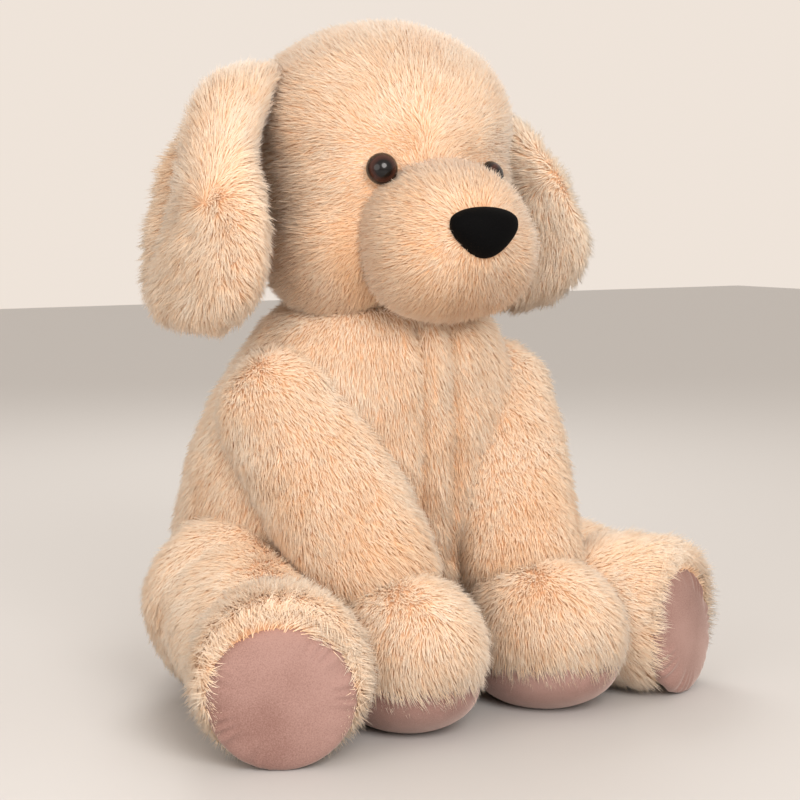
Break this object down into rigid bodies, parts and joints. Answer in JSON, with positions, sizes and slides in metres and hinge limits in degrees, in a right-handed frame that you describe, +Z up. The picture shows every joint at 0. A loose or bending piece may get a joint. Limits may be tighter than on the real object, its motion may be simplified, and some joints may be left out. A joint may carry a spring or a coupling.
{
  "type": "plush dog",
  "caption": "Large sitting plush dog with long-pile cover, floppy ears, padded paws and soles, and limbs, head and tail that move at their seams.",
  "frame": {"origin": "centre of the bounding box's underside, on the surface the dog sits on", "axes": "+Z up, the dog faces -Y, +X is the dog's left"},
  "size_m": [0.5362, 0.462, 0.594],
  "materials": {
    "pile": "long-pile faux fur, cream to tan",
    "velour": "short dusty-pink velour",
    "nose_cloth": "short black matt cloth",
    "filling": "loose polyester fibre",
    "eye_clear": "clear gloss plastic dome",
    "eye_brown": "brown under the dome",
    "eye_black": "black plastic",
    "washer_plastic": "white nylon"
  },
  "bodies": {
    "torso": {"body_cover": "pile", "body_filling": "filling"},
    "neck": {"neck_filling": "filling"},
    "head": {"head_cover": "pile", "head_filling": "filling", "muzzle_cover": "pile", "muzzle_filling": "filling", "nose_cover": "nose_cloth", "nose_filling": "filling", "eye_back_right": "eye_black", "eye_iris_right": "eye_brown", "eye_pupil_right": "eye_black", "eye_dome_right": "eye_clear", "eye_washer_right": "washer_plastic", "eye_back_left": "eye_black", "eye_iris_left": "eye_brown", "eye_pupil_left": "eye_black", "eye_dome_left": "eye_clear", "eye_washer_left": "washer_plastic"},
    "ear_right": {"ear_cover_right": "pile", "ear_batting_right": "filling"},
    "ear_left": {"ear_cover_left": "pile", "ear_batting_left": "filling"},
    "arm_right": {"arm_cover_right": "pile", "arm_filling_right": "filling", "paw_cover_right": "pile", "paw_filling_right": "filling", "paw_pad_right": "velour"},
    "arm_left": {"arm_cover_left": "pile", "arm_filling_left": "filling", "paw_cover_left": "pile", "paw_filling_left": "filling", "paw_pad_left": "velour"},
    "leg_right": {"leg_cover_right": "pile", "leg_filling_right": "filling", "foot_cover_right": "pile", "foot_filling_right": "filling", "sole_right": "velour"},
    "leg_left": {"leg_cover_left": "pile", "leg_filling_left": "filling", "foot_cover_left": "pile", "foot_filling_left": "filling", "sole_left": "velour"},
    "tail": {"tail_cover": "pile", "tail_filling": "filling"}
  },
  "joints": [
    {"name": "head_turn", "type": "hinge", "parent": "torso", "child": "neck", "pos_m": [0, 0.006, 0.245], "axis": [0, 0, 1], "range_deg": [-25, 25], "stiffness_Nm_per_rad": 1.5},
    {"name": "head_nod", "type": "hinge", "parent": "neck", "child": "head", "pos_m": [0, 0.006, 0.245], "axis": [1, 0, 0], "range_deg": [-10, 10], "stiffness_Nm_per_rad": 12},
    {"name": "ear_lift_right", "type": "hinge", "parent": "head", "child": "ear_right", "pos_m": [-0.1, 0.002, 0.552], "axis": [0, 1, 0], "range_deg": [0, 70]},
    {"name": "ear_lift_left", "type": "hinge", "parent": "head", "child": "ear_left", "pos_m": [0.1, 0.002, 0.552], "axis": [0, -1, 0], "range_deg": [0, 70]},
    {"name": "arm_swing_right", "type": "hinge", "parent": "torso", "child": "arm_right", "pos_m": [-0.1, -0.019, 0.25], "axis": [-1, 0, 0], "range_deg": [0, 45]},
    {"name": "arm_swing_left", "type": "hinge", "parent": "torso", "child": "arm_left", "pos_m": [0.1, -0.019, 0.25], "axis": [-1, 0, 0], "range_deg": [0, 45]},
    {"name": "leg_splay_right", "type": "hinge", "parent": "torso", "child": "leg_right", "pos_m": [-0.137, 0.014, 0.082], "axis": [0, 0, -1], "range_deg": [0, 25], "stiffness_Nm_per_rad": 0.5},
    {"name": "leg_splay_left", "type": "hinge", "parent": "torso", "child": "leg_left", "pos_m": [0.137, 0.014, 0.082], "axis": [0, 0, 1], "range_deg": [0, 25], "stiffness_Nm_per_rad": 0.5},
    {"name": "tail_wag", "type": "hinge", "parent": "torso", "child": "tail", "pos_m": [0, 0.194, 0.066], "axis": [0, 0, 1], "range_deg": [-15, 15], "stiffness_Nm_per_rad": 0.05}
  ]
}
